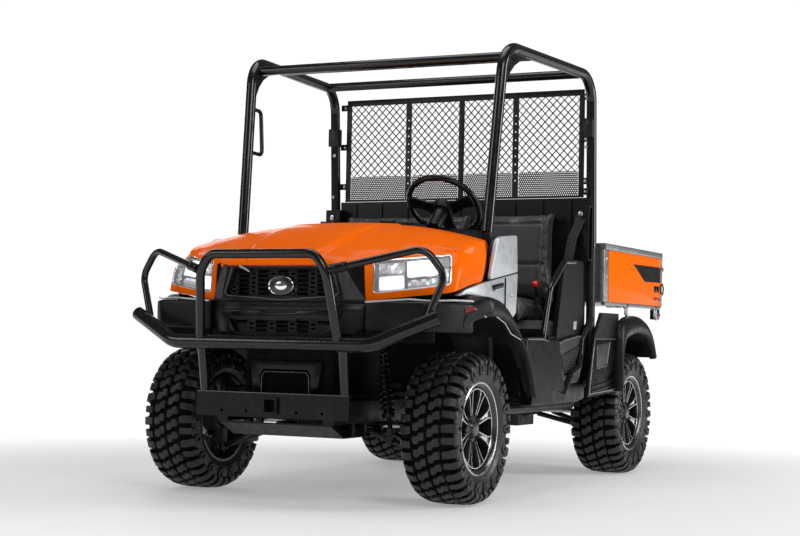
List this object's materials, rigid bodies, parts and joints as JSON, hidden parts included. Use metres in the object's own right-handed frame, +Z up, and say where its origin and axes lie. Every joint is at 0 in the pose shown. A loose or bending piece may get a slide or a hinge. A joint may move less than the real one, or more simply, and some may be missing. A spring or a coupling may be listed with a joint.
{
  "type": "side-by-side utility vehicle",
  "caption": "Side-by-side utility vehicle with a roll cage, tipping cargo bed with tailgate, opening hood, steered front wheels and a tubular brush guard.",
  "frame": {"origin": "on the ground under the middle of the vehicle's length, on its centre plane", "axes": "+X towards the front, +Y to the driver's left, +Z up"},
  "size_m": [3.038, 1.604, 2.015],
  "materials": {
    "frame_black": "satin black paint over steel",
    "hood_orange": "bright orange moulded panel, slightly glossy",
    "silver_panel": "light silver-grey satin paint",
    "black_plastic": "grained black moulding",
    "grey_plastic": "dark grey moulding",
    "zinc_sheet": "galvanised grey sheet steel",
    "bright_steel": "bare turned steel",
    "cast_housing": "cast housings, dark",
    "rim_alloy": "machined bright edges with black pockets",
    "tyre_rubber": "dull black mud tread",
    "seat_cover": "dark grey grained cover",
    "lamp_clear": "clear lens",
    "lamp_body": "bright reflector housing",
    "lamp_red": "dark red lens",
    "badge_chrome": "bright ring with a plain centre"
  },
  "bodies": {
    "chassis": {"badge": "badge_chrome", "bed_frame": "frame_black", "brush_guard_beam": "frame_black", "brush_guard_hoops": "frame_black", "bulkhead": "black_plastic", "bumper_plate": "frame_black", "cab_frame": "frame_black", "cage_posts": "frame_black", "cage_roof": "frame_black", "controls": "black_plastic", "cowl_strip": "black_plastic", "dashboard": "grey_plastic", "engine": "cast_housing", "fenders": "black_plastic", "floor_pan": "black_plastic", "frame_rails": "frame_black", "front_drive": "cast_housing", "front_fascia": "black_plastic", "front_subframe": "frame_black", "grab_tubes": "frame_black", "grille": "black_plastic", "half_shafts": "bright_steel", "muffler": "bright_steel", "radiator": "frame_black", "rear_hitch": "frame_black", "rear_screen": "frame_black", "seat_backs": "seat_cover", "seat_base": "black_plastic", "seat_cushions": "seat_cover", "shock_absorbers": "frame_black", "side_cowls": "silver_panel", "side_panels": "black_plastic", "side_sills": "black_plastic", "skid_plate": "black_plastic", "suspension_arms": "frame_black", "tail_lamps": "lamp_red", "transaxle": "cast_housing"},
    "hood": {"hood": "hood_orange", "headlamp_lenses": "lamp_clear", "headlamp_housings": "lamp_body"},
    "knuckle_left": {"knuckle_left": "cast_housing"},
    "knuckle_right": {"knuckle_right": "cast_housing"},
    "tie_rods": {"tie_rods": "bright_steel"},
    "steering_wheel": {"steering_wheel": "black_plastic"},
    "bed": {"bed_tub": "zinc_sheet", "bed_side_panels": "hood_orange", "bed_rails": "zinc_sheet"},
    "tailgate": {"tailgate": "zinc_sheet"},
    "lift_barrel": {"lift_barrel": "frame_black"},
    "lift_rod": {"lift_rod": "bright_steel"},
    "wheel_front_left": {"rim_front_left": "rim_alloy", "tyre_front_left": "tyre_rubber"},
    "wheel_front_right": {"rim_front_right": "rim_alloy", "tyre_front_right": "tyre_rubber"},
    "wheel_rear_left": {"rim_rear_left": "rim_alloy", "tyre_rear_left": "tyre_rubber"},
    "wheel_rear_right": {"rim_rear_right": "rim_alloy", "tyre_rear_right": "tyre_rubber"}
  },
  "joints": [
    {"name": "hood_hinge", "type": "hinge", "parent": "chassis", "child": "hood", "pos_m": [0.668, 0, 1.203], "axis": [0, -1, 0], "range_deg": [0, 50]},
    {"name": "steer_left", "type": "hinge", "parent": "chassis", "child": "knuckle_left", "pos_m": [0.923, 0.52, 0.317], "axis": [0, 0, 1], "range_deg": [-32, 32]},
    {"name": "steer_right", "type": "hinge", "parent": "chassis", "child": "knuckle_right", "pos_m": [0.923, -0.52, 0.317], "axis": [0, 0, 1], "range_deg": [-32, 32]},
    {"name": "rack_slide", "type": "slide", "parent": "chassis", "child": "tie_rods", "axis": [0, 1, 0], "range_m": [-0.062, 0.062]},
    {"name": "steering_wheel_turn", "type": "hinge", "parent": "chassis", "child": "steering_wheel", "pos_m": [0.477, 0.34, 1.285], "axis": [-0.7071, 0, 0.7071], "range_deg": [-545, 545]},
    {"name": "bed_tip", "type": "hinge", "parent": "chassis", "child": "bed", "pos_m": [-1.409, 0, 0.8], "axis": [0, -1, 0], "range_deg": [0, 45]},
    {"name": "tailgate_drop", "type": "hinge", "parent": "bed", "child": "tailgate", "pos_m": [-1.489, 0, 0.885], "axis": [0, -1, 0], "range_deg": [0, 90]},
    {"name": "lift_swing", "type": "hinge", "parent": "chassis", "child": "lift_barrel", "pos_m": [-0.877, 0.178, 0.33], "axis": [0, -1, 0], "range_deg": [-1, 1]},
    {"name": "lift_extend", "type": "slide", "parent": "lift_barrel", "child": "lift_rod", "axis": [-0.4997, 0, 0.8662], "range_m": [-0.001, 0.1845]},
    {"name": "wheel_front_left_spin", "type": "hinge", "parent": "knuckle_left", "child": "wheel_front_left", "pos_m": [0.923, 0.62, 0.317], "axis": [0, 1, 0], "continuous": true},
    {"name": "wheel_front_right_spin", "type": "hinge", "parent": "knuckle_right", "child": "wheel_front_right", "pos_m": [0.923, -0.62, 0.317], "axis": [0, 1, 0], "continuous": true},
    {"name": "wheel_rear_left_spin", "type": "hinge", "parent": "chassis", "child": "wheel_rear_left", "pos_m": [-1.087, 0.62, 0.317], "axis": [0, 1, 0], "continuous": true},
    {"name": "wheel_rear_right_spin", "type": "hinge", "parent": "chassis", "child": "wheel_rear_right", "pos_m": [-1.087, -0.62, 0.317], "axis": [0, 1, 0], "continuous": true}
  ],
  "couplings": [
    {"joint": "steer_right", "follows": "steer_left", "ratio": 1},
    {"joint": "rack_slide", "follows": "steer_left", "m_per_rad": -0.11},
    {"joint": "steering_wheel_turn", "follows": "steer_left", "ratio": 17},
    {"joint": "lift_swing", "follows": "bed_tip", "ratio": 0.0039},
    {"joint": "lift_extend", "follows": "bed_tip", "m_per_rad": 0.23298}
  ]
}
